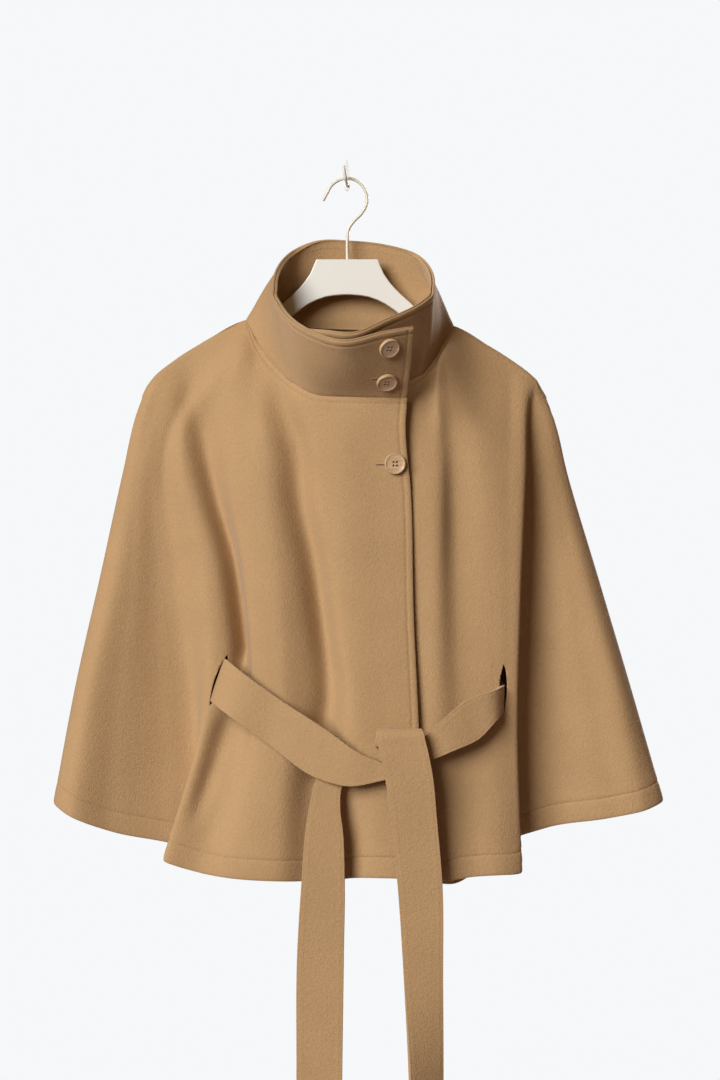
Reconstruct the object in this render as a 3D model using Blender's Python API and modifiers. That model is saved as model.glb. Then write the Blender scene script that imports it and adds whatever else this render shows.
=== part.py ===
"""A belted wool cape with a funnel collar, hanging on a flat painted hanger from a small wall hook.

Metres, +Z up.  +X is the viewer's right, the front of the cape faces -Y and the wall is at +Y.
The origin is where the hanger's hook rests on the wall hook.
"""

import math

import bmesh
import bpy
import numpy as np
from mathutils import Matrix, Vector

MM = 0.001

# Driving dimensions, in millimetres
WALL = 2.6                      # one layer of melton
SEAM = 1.1                      # half the gap at a seam, which closes to about 0.3 mm inside
BELT_THICK = 4.6                # belt and tab are two layers, pressed
FACING_GAP = 1.1                # between the collar and its facing
RIDGE = 7.0                     # radius of the cloth over the hanger, at the shoulder seam
WALL_Y = 35.0                   # the wall's face

# Flat painted hanger and its wire hook
PLATE_THICK = 9.0
PLATE_EASE = 1.2                # rounding of its edges
ARM_DROP = 7.5                  # from the outside of the cloth down to the wood
ARM_DEEP = 26.0                 # height of an arm near its tip
WIRE = 3.6
SOCKET_GAP = 0.3                # round the wire where it goes into the plate
SOCKET_DEEP = 16.5

# Horn buttons
BUTTON = 24.0                   # across
BUTTON_THICK = 4.4
BUTTON_RIM = 2.2
HOLE = 2.0                      # thread hole
HOLE_OUT = 2.7                  # from the button's middle to each hole
BUTTON_OFF = 0.8                # the thread shank holds the button just off the cloth

# Small wall hook
PEG_RADIUS = 1.8
TONGUE_DEEP = 3.2               # its flat tongue on the wall

# Levels down a line of cloth, as shares of the height from its top to its hem
LEVELS = (0.05, 0.20, 0.45, 0.70, 1.00)

# The collar, one section a row, from the end that lies under, round the neck, to the buttoned end.
# section            neck seam x, y, z      rim x, y, z
COLLAR = (
    ("under end",    (-46, -50, -243),      (-51, -102, -182)),
    ("under left",   (-26, -63, -251),      (-24, -127, -187)),
    ("under front",  (6, -67, -252),        (2, -133, -191)),
    ("right front",  (46, -61, -248),       (46, -116, -173)),
    ("right crease", (86, -46, -227),       (97, -66, -139)),
    ("right side",   (112, -19, -191),      (96, -20, -102)),
    ("right point",  (124, 0, -170),        (79, 6, -84)),
    ("right back",   (86, 17, -171),        (48, 16, -74)),
    ("back",         (4, 21, -172),         (4, 19, -69)),
    ("left back",    (-78, 17, -167),       (-35, 13, -69)),
    ("left point",   (-117, 0, -163),       (-62, 0, -81)),
    ("left side",    (-104, -19, -188),     (-79, -26, -101)),
    ("left crease",  (-66, -52, -235),      (-84, -68, -139)),
    ("left front",   (-39, -68, -252),      (-54, -119, -180)),
    ("front",        (4, -76, -256),        (-2, -146, -200)),
    ("tab",          (40, -77, -257),       (44, -139, -189)),
    ("tab end",      (69, -74, -257),       (76, -126, -182)),
)
FACING_RISE = 4.5               # the facing stops this far above the seam
COLLAR_RISE = 1.7               # seam gap under the collar
COLLAR_BOW = 3.0                # how far the collar swells outwards halfway up
POINT_EASE = 14.0               # the seam turns from the neck into the shoulder over this length

# Shoulder seams, from the neck point to the end of the hanger's arm: x, z
LEFT_SHOULDER = (
    (-117, -163), (-161, -185), (-192, -204), (-212, -218), (-225, -230), (-234, -241), (-238, -252),
)
RIGHT_SHOULDER = (
    (124, -170), (158, -189), (192, -210), (211, -224), (221, -233), (229, -247), (231, -252),
)

# Lines of the overlapping front, from its buttoned edge out to the wing seam.
# line              top x  x at each level                  y at each level                  hem z
FRONT_OVER = (
    ("edge",          69,  (67, 73, 76, 82, 84),            (-78, -79, -80, -85, -83),       -805),
    ("buttons",       36,  (35, 39, 42, 48, 50),            (-79, -80, -81, -87, -85),       -803),
    ("centre",        -5,  (-6, -5, 0, 4, 8),               (-78, -80, -80, -87, -84),       -804),
    ("soft trough",  -50,  (-66, -58, -36, -26, -16),       (-60, -64, -67, -70, -72),       -808),
    ("left ridge",   -80,  (-90, -94, -80, -74, -80),       (-51, -62, -74, -78, -80),       -807),
    ("lit edge",     -98,  (-106, -126, -115, -106, -134),  (-38, -50, -62, -68, -74),       -804),
    ("deep trough", -117,  (-124, -162, -126, -114, -170),  (-24, -28, -47, -51, -60),       -799),
    ("body fold",   -136,  (-146, -190, -164, -160, -210),  (-16, -28, -45, -51, -58),       -786),
    ("return",      -158,  (-168, -207, -202, -180, -172),  (-13, -18, -17, -12, -12),       -780),
    ("wing inner",  -180,  (-190, -219, -218, -210, -206),  (-12, -18, -16, -12, -11),       -771),
    ("wing",        -204,  (-212, -236, -245, -262, -272),  (-11, -18, -22, -23, -20),       -757),
    ("wing front",  -226,  (-233, -251, -269, -299, -324),  (-10, -14, -23, -27, -29),       -736),
    ("wing edge",   -236,  (-244, -261, -287, -314, -341),  (-3, -3, -3, -3, -2),            -724),
    ("wing seam",   -238,  (-241, -257, -282, -309, -336),  (5, 6, 7, 7, 8),                 -724),
)

# Lines of the front that lies under, from its hidden edge out to the wing seam
FRONT_UNDER = (
    ("hidden edge",  -50,  (-50, -49, -44, -40, -38),       (-55, -56, -56, -60, -61),       -799),
    ("centre",         6,  (5, 5, 6, 8, 8),                 (-69, -71, -71, -78, -75),       -799),
    ("under edge",    46,  (46, 50, 54, 58, 60),            (-65, -72, -73, -77, -75),       -801),
    ("beside edge",   74,  (75, 80, 82, 84, 92),            (-60, -73, -74, -76, -74),       -806),
    ("ridge",         88,  (90, 98, 100, 102, 114),         (-54, -72, -76, -77, -75),       -807),
    ("long trough",  124,  (114, 123, 126, 130, 142),       (-36, -57, -64, -69, -72),       -803),
    ("slit",         152,  (148, 154, 162, 170, 178),       (-20, -55, -63, -64, -70),       -801),
    ("lip",          188,  (187, 183, 182, 183, 191),       (-15, -50, -61, -61, -65),       -801),
    ("body ridge",   217,  (212, 206, 199, 195, 200),       (-14, -44, -56, -57, -59),       -800),
    ("return",       221,  (214, 202, 191, 185, 172),       (-9, -25, -32, -36, -41),        -778),
    ("recess",       224,  (221, 220, 220, 224, 230),       (-8, -17, -18, -18, -18),        -753),
    ("wing",         227,  (228, 238, 256, 280, 304),       (-7, -15, -21, -23, -22),        -741),
    ("wing front",   229,  (233, 249, 280, 314, 348),       (-6, -11, -19, -24, -23),        -731),
    ("wing edge",    230,  (239, 257, 292, 327, 368),       (-2, -3, -3, -3, -2),            -722),
    ("wing seam",    231,  (236, 253, 287, 322, 363),       (5, 6, 7, 7, 8),                 -722),
)

# Lines of the back, from the left wing seam to the right one
BACK = (
    ("left seam",   -238,  (-239, -255, -280, -307, -334),  (7, 8, 9, 9, 10),                -724),
    ("left edge",   -230,  (-233, -246, -268, -293, -319),  (10, 13, 16, 17, 18),            -733),
    ("left wing",   -205,  (-207, -213, -225, -240, -258),  (12, 18, 22, 24, 25),            -752),
    ("left valley", -165,  (-166, -168, -172, -178, -190),  (13, 18, 17, 11, 9),             -777),
    ("left pipe",   -117,  (-128, -130, -132, -136, -140),  (16, 24, 26, 27, 28),            -795),
    ("left fall",    -58,  (-58, -62, -66, -70, -74),       (22, 23, 17, 11, 8),             -806),
    ("centre",         4,  (4, 3, 1, -1, -3),               (23, 25, 27, 28, 28),            -811),
    ("right fall",    66,  (66, 68, 70, 72, 72),            (22, 23, 17, 12, 8),             -812),
    ("right pipe",   124,  (132, 130, 128, 127, 126),       (16, 24, 26, 27, 27),            -823),
    ("right valley", 168,  (170, 174, 178, 184, 192),       (13, 18, 17, 11, 9),             -760),
    ("right wing",   204,  (208, 217, 234, 254, 279),       (12, 18, 22, 24, 25),            -741),
    ("right edge",   224,  (229, 245, 275, 308, 347),       (10, 13, 16, 17, 18),            -733),
    ("right seam",   231,  (234, 251, 285, 320, 361),       (7, 8, 9, 9, 10),                -722),
)

# Stretches of the belt: upper or left edge x, y, z and lower or right edge x, y, z
BELT = {
    "belt_left_strap": (
        ((-139, -46, -556), (-156, -46, -604)),
        ((-136, -58, -557), (-152, -58, -606)),
        ((-126, -73, -564), (-142, -73, -613)),
        ((-75, -87, -600), (-88, -86, -651)),
        ((-19, -98, -636), (-34, -96, -688)),
        ((14, -102, -659), (2, -101, -697)),
        ((44, -101, -672), (44, -101, -690)),
    ),
    "belt_right_strap": (
        ((179, -48, -585), (178, -48, -615)),
        ((177, -62, -586), (177, -62, -616)),
        ((170, -76, -589), (172, -76, -621)),
        ((136, -86, -601), (149, -85, -645)),
        ((110, -92, -621), (122, -92, -657)),
        ((88, -93, -641), (94, -93, -668)),
        ((62, -92.4, -648), (64, -92.4, -673)),
        ((38, -92.3, -649), (46, -92.3, -671.5)),
        ((14, -91.9, -655), (32, -91.9, -668)),
        ((-8, -91.6, -663), (18, -91.6, -667)),
    ),
    "belt_tail_right": (
        ((31, -98, -652), (76, -98, -652)),
        ((33, -98.4, -641), (80, -98.6, -641)),
        ((35, -101.4, -633.5), (84, -101.4, -633.5)),
        ((33.5, -105.6, -635.5), (86, -105.6, -635.5)),
        ((36, -107.6, -652), (90, -107.6, -650)),
        ((42, -106.6, -680), (97, -106.6, -684)),
        ((50, -102, -735), (102, -102, -735)),
        ((57, -96, -804), (108, -96, -804)),
        ((65, -92, -920), (109, -86, -920)),
        ((71, -100, -1030), (109, -78, -1030)),
        ((73, -102, -1160), (108, -74, -1160)),
        ((74, -98, -1284), (114, -78, -1286)),
    ),
    "belt_tail_left": (
        ((-18, -91, -671), (12, -91, -673)),
        ((-34, -91, -690), (-5, -91, -698)),
        ((-41, -92, -716), (-7, -92, -722)),
        ((-46, -93, -745), (-4, -93, -748)),
        ((-51, -90, -805), (-2, -90, -805)),
        ((-56, -86, -885), (-3, -86, -885)),
        ((-57, -84, -1030), (-5, -84, -1030)),
        ((-58, -84, -1150), (-6, -84, -1150)),
        ((-57, -83, -1264), (-5, -83, -1266)),
    ),
    "belt_back": (
        ((-139, -45.5, -556), (-156, -45.5, -604)),
        ((-142, -30, -557), (-158, -32, -605)),
        ((-126, -14, -560), (-136, -14, -610)),
        ((-90, -2, -566), (-92, -2, -617)),
        ((10, 1, -570), (10, 1, -622)),
        ((104, -4, -568), (104, -4, -620)),
        ((146, -18, -567), (146, -18, -618)),
        ((166, -33, -571), (165, -33, -616)),
        ((176, -40, -579), (175, -40, -615)),
        ((179, -46.4, -585), (178, -46.4, -615)),
    ),
}

# Slits that the belt passes through: middle x, z, length and lean from upright in degrees
SLITS = {"front_over": (-146.5, -580, 60, -19), "front_under": (178.5, -590, 57, -2)}
SLIT_WIDE = 9.0
SLIT_Y = -58.0                  # middle of the blade that cuts them, and its reach from front to back
SLIT_REACH = 60.0

# Buttons: x and share of the way up the collar, or x, y, z on the front
COLLAR_BUTTONS = ((47, 0.79), (45, 0.26))
FRONT_BUTTON = (55, -79.6, -333)

# Root of the hanger's arm, from the plate's middle outwards: distance from the centre, z
ARM_ROOT_TOP = ((36, -93), (43, -110), (56, -127), (72, -142), (94, -162), (117, -179))
ARM_ROOT_BOTTOM = ((112, -203), (88, -181), (64, -159), (45, -145), (25, -136.5), (4, -134))

# Inside of the wire hook, from its open end round the wall hook and down into the plate: x, z
HOOK_ROUTE = (
    (-28, -26), (-23, -17), (-18.5, -9), (-10, -2.5), (0, 0), (9, -2), (18, -9), (22.5, -18),
    (23, -29), (16, -42), (8, -50), (2, -59), (0.5, -72), (0.5, -96),
)

# Middle of the wall hook's peg, from its tongue to its turned-up end
PEG = (
    (0, WALL_Y - 2, -2.3), (0, 20, -2.2), (0, 6, -2.1), (-0.7, -3, -2.0), (-1.8, -8.8, 1.0),
    (-3, -10.8, 7), (-3.8, -11.4, 15),
)

# Right side of the tongue, from its foot to its narrow top: half width, z
TONGUE = ((0.9, -8.5), (2.2, -7.2), (2.9, -4), (3.0, 1), (2.6, 8), (1.9, 17), (1.2, 25), (0.6, 28))

CAMEL = (0.45, 0.27, 0.13, 1)
CREAM = (0.80, 0.76, 0.68, 1)
HORN = (0.56, 0.38, 0.23, 1)
WHITE = (0.86, 0.86, 0.84, 1)

for old in list(bpy.data.objects):
    bpy.data.objects.remove(old)
parts = bpy.data.collections.new("wool_cape_on_hanger")
cutters = bpy.data.collections.new("cutters")
bpy.context.scene.collection.children.link(parts)
bpy.context.scene.collection.children.link(cutters)


def material(name, colour, roughness, metallic=0.0):
    made = bpy.data.materials.new(name)
    made.use_nodes = True
    shader = made.node_tree.nodes["Principled BSDF"]
    shader.inputs["Base Color"].default_value = colour
    shader.inputs["Roughness"].default_value = roughness
    shader.inputs["Metallic"].default_value = metallic
    return made


def add(name, mesh, finish, collection=parts):
    """One named object of the part."""
    made = bpy.data.objects.new(name, mesh)
    mesh.materials.append(finish)
    collection.objects.link(made)
    return made


def refine(rows, steps):
    """Rows added between the rows of a net, each column on one smooth curve."""
    rows = np.asarray(rows, float)
    hops = np.diff(rows, axis=0)
    gaps = np.linalg.norm(hops, axis=-1, keepdims=True) + 1e-6
    slopes = hops / gaps
    leans = np.concatenate([slopes[:1], slopes[-1:]]).repeat([1, len(rows) - 1], axis=0)
    leans[1:-1] = (slopes[:-1] * gaps[1:] + slopes[1:] * gaps[:-1]) / (gaps[:-1] + gaps[1:])
    made = [rows[0]]
    for i, count in enumerate(steps):
        for t in np.arange(1, count + 1) / count:
            start = (1 + 2 * t) * (1 - t) ** 2 * rows[i] + t * (1 - t) ** 2 * gaps[i] * leans[i]
            end = t * t * (3 - 2 * t) * rows[i + 1] + t * t * (t - 1) * gaps[i] * leans[i + 1]
            made.append(start + end)
    return np.array(made)


def cloth(name, net, finish, thick=WALL, offset=-1, flip=False):
    """A net of points, in millimetres, as a sheet with one layer's thickness."""
    rows, columns = net.shape[:2]
    faces = []
    for i in range(rows - 1):
        for j in range(columns - 1):
            corner = i * columns + j
            face = (corner, corner + 1, corner + columns + 1, corner + columns)
            faces.append(face[::-1] if flip else face)
    mesh = bpy.data.meshes.new(name)
    mesh.from_pydata((net.reshape(-1, 3) * MM).tolist(), [], faces)
    mesh.shade_smooth()
    sheet = add(name, mesh, finish)
    shell = sheet.modifiers.new("thickness", "SOLIDIFY")
    shell.thickness = thick * MM
    shell.offset = offset
    return sheet


def neck(x, sections):
    """The point of the neck seam above x, between two sections of the collar."""
    names = [row[0] for row in COLLAR]
    first, last = (names.index(name) for name in sections)
    seam = refine([row[1] for row in COLLAR[first:last + 1]], [6] * (last - first))
    order = np.argsort(seam[:, 0])
    return np.array([x] + [np.interp(x, seam[order, 0], seam[order, k]) for k in (1, 2)])


def shoulder_height(x):
    """Height of the shoulder seam at x."""
    line = LEFT_SHOULDER if x < 0 else RIGHT_SHOULDER
    line = sorted(line)
    return np.interp(x, [p[0] for p in line], [p[1] for p in line])


def panel(lines, sections, side):
    """The net of a body panel: lines of cloth from the neck or shoulder seam down to the hem.
    side is -1 for a front and 1 for the back."""
    left_point, right_point = LEFT_SHOULDER[0][0], RIGHT_SHOULDER[0][0]
    net = []
    for _, top_x, xs, ys, hem in lines:
        past = max(left_point - top_x, top_x - right_point)
        on_shoulder = min(max(1 + past / POINT_EASE, 0), 1)
        top = neck(min(max(top_x, left_point), right_point), sections)
        if past > 0:
            top = np.array([top_x, 0, shoulder_height(top_x)])
        if past > -1:
            top[1] += side * SEAM
        line = [top]
        first = np.array([xs[0], ys[0], top[2] + (hem - top[2]) * LEVELS[0]])
        down = (first - top) / np.linalg.norm(first - top)
        for angle in (0.35, 0.9, 1.45):
            over = np.array([0, side * math.sin(angle), math.cos(angle) - 1]) * RIDGE
            along = down * RIDGE * angle
            line.append(top + over * on_shoulder + along * (1 - on_shoulder))
        for x, y, level in zip(xs, ys, LEVELS):
            line.append(np.array([x, y, top[2] + (hem - top[2]) * level]))
        net.append(line)
    net = refine(net, [2] * (len(net) - 1))
    for line in net:
        if left_point < line[0][0] < right_point:
            line[:4] += neck(line[0][0], sections) - line[0]
    down_first = refine(net.transpose(1, 0, 2), [1, 1, 1, 1, 3, 3, 3, 4])
    return down_first.transpose(1, 0, 2)


def collar_net(inset, rise):
    """Collar sections from seam to rim, swollen outwards halfway; inset moves the net inwards."""
    rows = []
    for _, seam, rim in COLLAR:
        seam, rim = np.array(seam, float), np.array(rim, float)
        up = (rim - seam) / np.linalg.norm(rim - seam)
        rows.append([seam + up * rise, (seam + rim) / 2, rim])
    rows = refine(rows, [2] * (len(rows) - 1))
    around = np.gradient(rows, axis=0)
    out = np.cross(around, (rows[:, 2] - rows[:, 0])[:, None])
    out /= np.linalg.norm(out, axis=2, keepdims=True)
    rows[:, 1] += out[:, 1] * COLLAR_BOW
    rows -= out * inset
    return refine(rows.transpose(1, 0, 2), [2, 2]).transpose(1, 0, 2)


def slit_cutter(name):
    """A thin upright blade through the front where the belt passes."""
    x, z, length, lean = SLITS[name]
    mesh = bpy.data.meshes.new(name + "_slit")
    shape = bmesh.new()
    bmesh.ops.create_cube(shape, size=1)
    bmesh.ops.scale(shape, vec=Vector((SLIT_WIDE, SLIT_REACH, length)) * MM, verts=shape.verts)
    shape.to_mesh(mesh)
    shape.free()
    blade = add(name + "_slit", mesh, camel, cutters)
    blade.matrix_world = (Matrix.Translation(Vector((x, SLIT_Y, z)) * MM)
                          @ Matrix.Rotation(math.radians(-lean), 4, "Y"))
    blade.hide_render = True
    blade.display_type = "WIRE"
    cut = bpy.data.objects[name].modifiers.new("slit", "BOOLEAN")
    cut.operation = "DIFFERENCE"
    cut.object = blade


camel = material("camel_wool", CAMEL, 0.9)
cream = material("cream_paint", CREAM, 0.45)
horn = material("horn", HORN, 0.35)
white = material("white_enamel", WHITE, 0.3)

cloth("front_over", panel(FRONT_OVER, ("left point", "tab end"), -1), camel, flip=True)
cloth("front_under", panel(FRONT_UNDER, ("under end", "right point"), -1), camel)
cloth("back", panel(BACK, ("right point", "left point"), 1), camel, flip=True)
cloth("collar", collar_net(0, COLLAR_RISE), camel, flip=True)
cloth("collar_facing", collar_net(WALL + FACING_GAP, FACING_RISE), camel, flip=True)
for name in SLITS:
    slit_cutter(name)

for name, rails in BELT.items():
    rows = [[a, (np.array(a) + b) / 2, b] for a, b in rails]
    cloth(name, refine(rows, [2] * (len(rows) - 1)), camel, BELT_THICK, 0)


def curve(name, points, kind, finish, depth=0.0, thick=0.0):
    """A round wire, or with thick a flat closed outline of that thickness."""
    made = bpy.data.curves.new(name, "CURVE")
    made.dimensions = "2D" if thick else "3D"
    run = made.splines.new(kind)
    run.points.add(len(points) - 1)
    for point, place in zip(run.points, points):
        point.co = (*[c * MM for c in place], 1)
    if thick:
        run.use_cyclic_u = True
        made.fill_mode = "BOTH"
        made.extrude = thick / 2 * MM
    else:
        made.bevel_depth = depth * MM
        made.bevel_resolution = 2
        made.use_fill_caps = True
    return add(name, made, finish)


def as_mesh(drawn):
    """A curve object made a closed mesh, so that it can be cut or joined."""
    seen = drawn.evaluated_get(bpy.context.evaluated_depsgraph_get())
    mesh = bpy.data.meshes.new_from_object(seen)
    shape = bmesh.new()
    shape.from_mesh(mesh)
    bmesh.ops.remove_doubles(shape, verts=shape.verts, dist=0.00001)
    shape.to_mesh(mesh)
    shape.free()
    name, place = drawn.name, drawn.matrix_world.copy()
    bpy.data.objects.remove(drawn)
    solid = bpy.data.objects.new(name, mesh)
    solid.matrix_world = place
    parts.objects.link(solid)
    return solid


def arm(shoulder):
    """Top and bottom of one arm of the hanger, under its shoulder seam, from the neck out to the tip."""
    side = 1 if shoulder[0][0] > 0 else -1
    top = [(side * x, z) for x, z in refine(ARM_ROOT_TOP, [2] * (len(ARM_ROOT_TOP) - 1))]
    top += [(x, z - ARM_DROP) for x, z in shoulder[1:-2]]
    tip = top[-1]
    bottom = [(tip[0] + side * 3, tip[1] - 8), (tip[0] - side * 2, tip[1] - ARM_DEEP)]
    bottom += [(x - side * 10, z - ARM_DROP - ARM_DEEP) for x, z in reversed(shoulder[1:-3])]
    bottom += [(side * x, z) for x, z in refine(ARM_ROOT_BOTTOM, [2] * (len(ARM_ROOT_BOTTOM) - 1))]
    return top, bottom


left_top, left_bottom = arm(LEFT_SHOULDER)
right_top, right_bottom = arm(RIGHT_SHOULDER)
outline = right_top + right_bottom + left_bottom[::-1] + left_top[::-1]
plate = curve("hanger", [(x, z, 0) for x, z in outline], "POLY", cream, thick=PLATE_THICK)
plate.rotation_euler = (math.radians(90), 0, 0)
bpy.context.view_layer.update()
plate = as_mesh(plate)
edge = plate.modifiers.new("eased edges", "BEVEL")
edge.width = PLATE_EASE * MM
edge.segments = 2
edge.angle_limit = math.radians(50)

# The wire: round the wall hook, down the back of the bend and into the top of the plate
route = refine([(x, 0, z + WIRE / 2) for x, z in HOOK_ROUTE], [2] * (len(HOOK_ROUTE) - 1))
wire = as_mesh(curve("hanger_hook", route, "POLY", cream, depth=WIRE / 2))
socket = plate.modifiers.new("socket", "BOOLEAN")
socket.operation = "DIFFERENCE"
socket_x, socket_top = HOOK_ROUTE[-1][0], -80
socket_line = [(socket_x, 0, socket_top), (socket_x, 0, socket_top - SOCKET_DEEP)]
bore = as_mesh(curve("hook_bore", socket_line, "POLY", cream, depth=WIRE / 2 + SOCKET_GAP))
parts.objects.unlink(bore)
cutters.objects.link(bore)
bore.hide_render = True
bore.display_type = "WIRE"
socket.object = bore

# The wall hook: a narrow tongue on the wall with a peg that turns up
peg = as_mesh(curve("peg", refine(PEG, [3] * (len(PEG) - 1)), "POLY", white, depth=PEG_RADIUS))
tongue = refine(TONGUE, [2] * (len(TONGUE) - 1))
sides = [(x, z, 0) for x, z in tongue] + [(-x, z, 0) for x, z in tongue[::-1]]
base = curve("wall_hook", sides, "POLY", white, thick=TONGUE_DEEP)
base.rotation_euler = (math.radians(90), 0, 0)
base.location = (0, (WALL_Y - TONGUE_DEEP / 2) * MM, 0)
bpy.context.view_layer.update()
base = as_mesh(base)
joined = base.modifiers.new("peg", "BOOLEAN")
joined.operation = "UNION"
joined.object = peg
parts.objects.unlink(peg)
cutters.objects.link(peg)
peg.hide_render = True
peg.display_type = "WIRE"


def button(name, place, facing):
    """A four-hole horn button with a raised rim, its back at place and its face turned to facing."""
    shape = bmesh.new()
    outer, inner = BUTTON / 2, BUTTON / 2 - BUTTON_RIM
    profile = ((0, 0), (outer - 1, 0), (outer, 1.2), (outer, 3.2), (outer - 0.9, BUTTON_THICK),
               (inner, BUTTON_THICK - 0.3), (inner - 1.2, 2.8), (0, 2.4))
    verts = [shape.verts.new((r * MM, 0, h * MM)) for r, h in profile]
    edges = [shape.edges.new(pair) for pair in zip(verts, verts[1:])]
    bmesh.ops.spin(shape, geom=verts + edges, cent=(0, 0, 0), axis=(0, 0, 1), angle=math.tau, steps=20)
    bmesh.ops.remove_doubles(shape, verts=shape.verts, dist=0.00001)
    bmesh.ops.recalc_face_normals(shape, faces=shape.faces)
    mesh = bpy.data.meshes.new(name)
    shape.to_mesh(mesh)
    shape.free()
    mesh.shade_smooth()
    made = add(name, mesh, horn)
    facing = Vector(facing).normalized()
    made.matrix_world = (Matrix.Translation(Vector(place) * MM)
                         @ facing.to_track_quat("Z", "Y").to_matrix().to_4x4())
    for k in range(4):
        hole_mesh = bpy.data.meshes.new("hole")
        shape = bmesh.new()
        bmesh.ops.create_cone(shape, cap_ends=True, segments=8, radius1=HOLE / 2 * MM,
                              radius2=HOLE / 2 * MM, depth=20 * MM)
        shape.to_mesh(hole_mesh)
        shape.free()
        angle = math.radians(45 + 90 * k)
        hole = add(f"{name}_hole_{k}", hole_mesh, horn, cutters)
        hole.matrix_world = made.matrix_world @ Matrix.Translation(
            Vector((math.cos(angle), math.sin(angle), 0)) * HOLE_OUT * MM)
        hole.hide_render = True
        hole.display_type = "WIRE"
        cut = made.modifiers.new(hole.name, "BOOLEAN")
        cut.operation = "DIFFERENCE"
        cut.object = hole
    return made


tab = collar_net(0, COLLAR_RISE)[-3:]
for k, (x, share) in enumerate(COLLAR_BUTTONS, 1):
    column = share * (tab.shape[1] - 1)
    low = int(column)
    near, far = tab[0], tab[2]
    here = Vector(near[low]).lerp(Vector(near[low + 1]), column - low)
    beyond = Vector(far[low]).lerp(Vector(far[low + 1]), column - low)
    facing = (beyond - here).cross(Vector(near[low + 1] - near[low])).normalized()
    on_cloth = here.lerp(beyond, (x - here.x) / (beyond.x - here.x))
    button(f"button_{k}", on_cloth + facing * BUTTON_OFF, facing)
x, y, z = FRONT_BUTTON
button("button_3", (x, y - BUTTON_OFF, z), (0, -1, 0))
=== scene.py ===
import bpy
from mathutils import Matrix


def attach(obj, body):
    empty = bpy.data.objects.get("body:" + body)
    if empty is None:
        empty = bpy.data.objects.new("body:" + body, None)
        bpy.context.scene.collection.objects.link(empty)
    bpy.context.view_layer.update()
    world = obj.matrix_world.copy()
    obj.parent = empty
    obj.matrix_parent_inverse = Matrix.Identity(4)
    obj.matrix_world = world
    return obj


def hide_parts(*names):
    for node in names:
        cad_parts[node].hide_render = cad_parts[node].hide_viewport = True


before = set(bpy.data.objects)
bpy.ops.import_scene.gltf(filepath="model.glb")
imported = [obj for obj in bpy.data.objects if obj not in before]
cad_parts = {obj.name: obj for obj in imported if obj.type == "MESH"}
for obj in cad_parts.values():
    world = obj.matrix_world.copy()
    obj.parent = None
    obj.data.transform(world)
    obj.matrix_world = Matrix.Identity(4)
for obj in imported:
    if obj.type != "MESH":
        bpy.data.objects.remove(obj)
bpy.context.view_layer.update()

import math

import bmesh
import bpy
import numpy as np
from mathutils import Matrix, Vector

# ---------------------------------------------------------------- the wall hook
# A narrow moulded tongue that is fixed to the wall, with a peg that turns up in front of it.  It
# is white plastic with a soft gloss, and the moulding leaves a very faint unevenness on it.
MM = 0.001


def finish(name, colour, roughness):
    """A new material with one shader, and that shader."""
    made = bpy.data.materials.new(name)
    made.use_nodes = True
    shader = made.node_tree.nodes["Principled BSDF"]
    shader.inputs["Base Color"].default_value = (*colour, 1)
    shader.inputs["Roughness"].default_value = roughness
    return made, shader


def mottle(material, scale, detail=3.0, stretch=(1, 1, 1)):
    """Noise on the object's own coordinates; scale is in patches a metre."""
    nodes, links = material.node_tree.nodes, material.node_tree.links
    place = nodes.new("ShaderNodeTexCoord")
    turn = nodes.new("ShaderNodeMapping")
    turn.inputs["Scale"].default_value = stretch
    links.new(place.outputs["Object"], turn.inputs["Vector"])
    noise = nodes.new("ShaderNodeTexNoise")
    noise.inputs["Scale"].default_value = scale
    noise.inputs["Detail"].default_value = detail
    links.new(turn.outputs["Vector"], noise.inputs["Vector"])
    return noise.outputs["Fac"]


def tint(material, factor, light, dark, colour=None):
    """The colour, or light where there is none yet, turned towards dark where factor is low."""
    nodes, links = material.node_tree.nodes, material.node_tree.links
    ramp = nodes.new("ShaderNodeMapRange")
    ramp.inputs["From Min"].default_value = 0.3
    ramp.inputs["From Max"].default_value = 0.7
    links.new(factor, ramp.inputs["Value"])
    mix = nodes.new("ShaderNodeMix")
    mix.data_type = "RGBA"
    mix.inputs["A"].default_value = (*dark, 1)
    mix.inputs["B"].default_value = (*light, 1)
    links.new(ramp.outputs["Result"], mix.inputs["Factor"])
    if colour is None:
        return mix.outputs["Result"]
    both = nodes.new("ShaderNodeMix")
    both.data_type = "RGBA"
    both.blend_type = "MULTIPLY"
    both.inputs["Factor"].default_value = 1
    links.new(colour, both.inputs["A"])
    links.new(mix.outputs["Result"], both.inputs["B"])
    return both.outputs["Result"]


def relief(material, heights):
    """Bumps one on another: pairs of a factor and its height in metres."""
    nodes, links = material.node_tree.nodes, material.node_tree.links
    below = None
    for factor, height in heights:
        bump = nodes.new("ShaderNodeBump")
        bump.inputs["Distance"].default_value = height
        bump.inputs["Strength"].default_value = 1
        links.new(factor, bump.inputs["Height"])
        if below is not None:
            links.new(below, bump.inputs["Normal"])
        below = bump.outputs["Normal"]
    links.new(below, nodes["Principled BSDF"].inputs["Normal"])


HOOK_WHITE = (0.86, 0.86, 0.84)
hook_white, shader = finish("hook_white", HOOK_WHITE, 0.28)
links = hook_white.node_tree.links
links.new(tint(hook_white, mottle(hook_white, 120), HOOK_WHITE, (0.80, 0.80, 0.79)),
          shader.inputs["Base Color"])
relief(hook_white, [(mottle(hook_white, 260), 0.0001)])
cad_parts["wall_hook"].material_slots[0].material = hook_white

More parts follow.
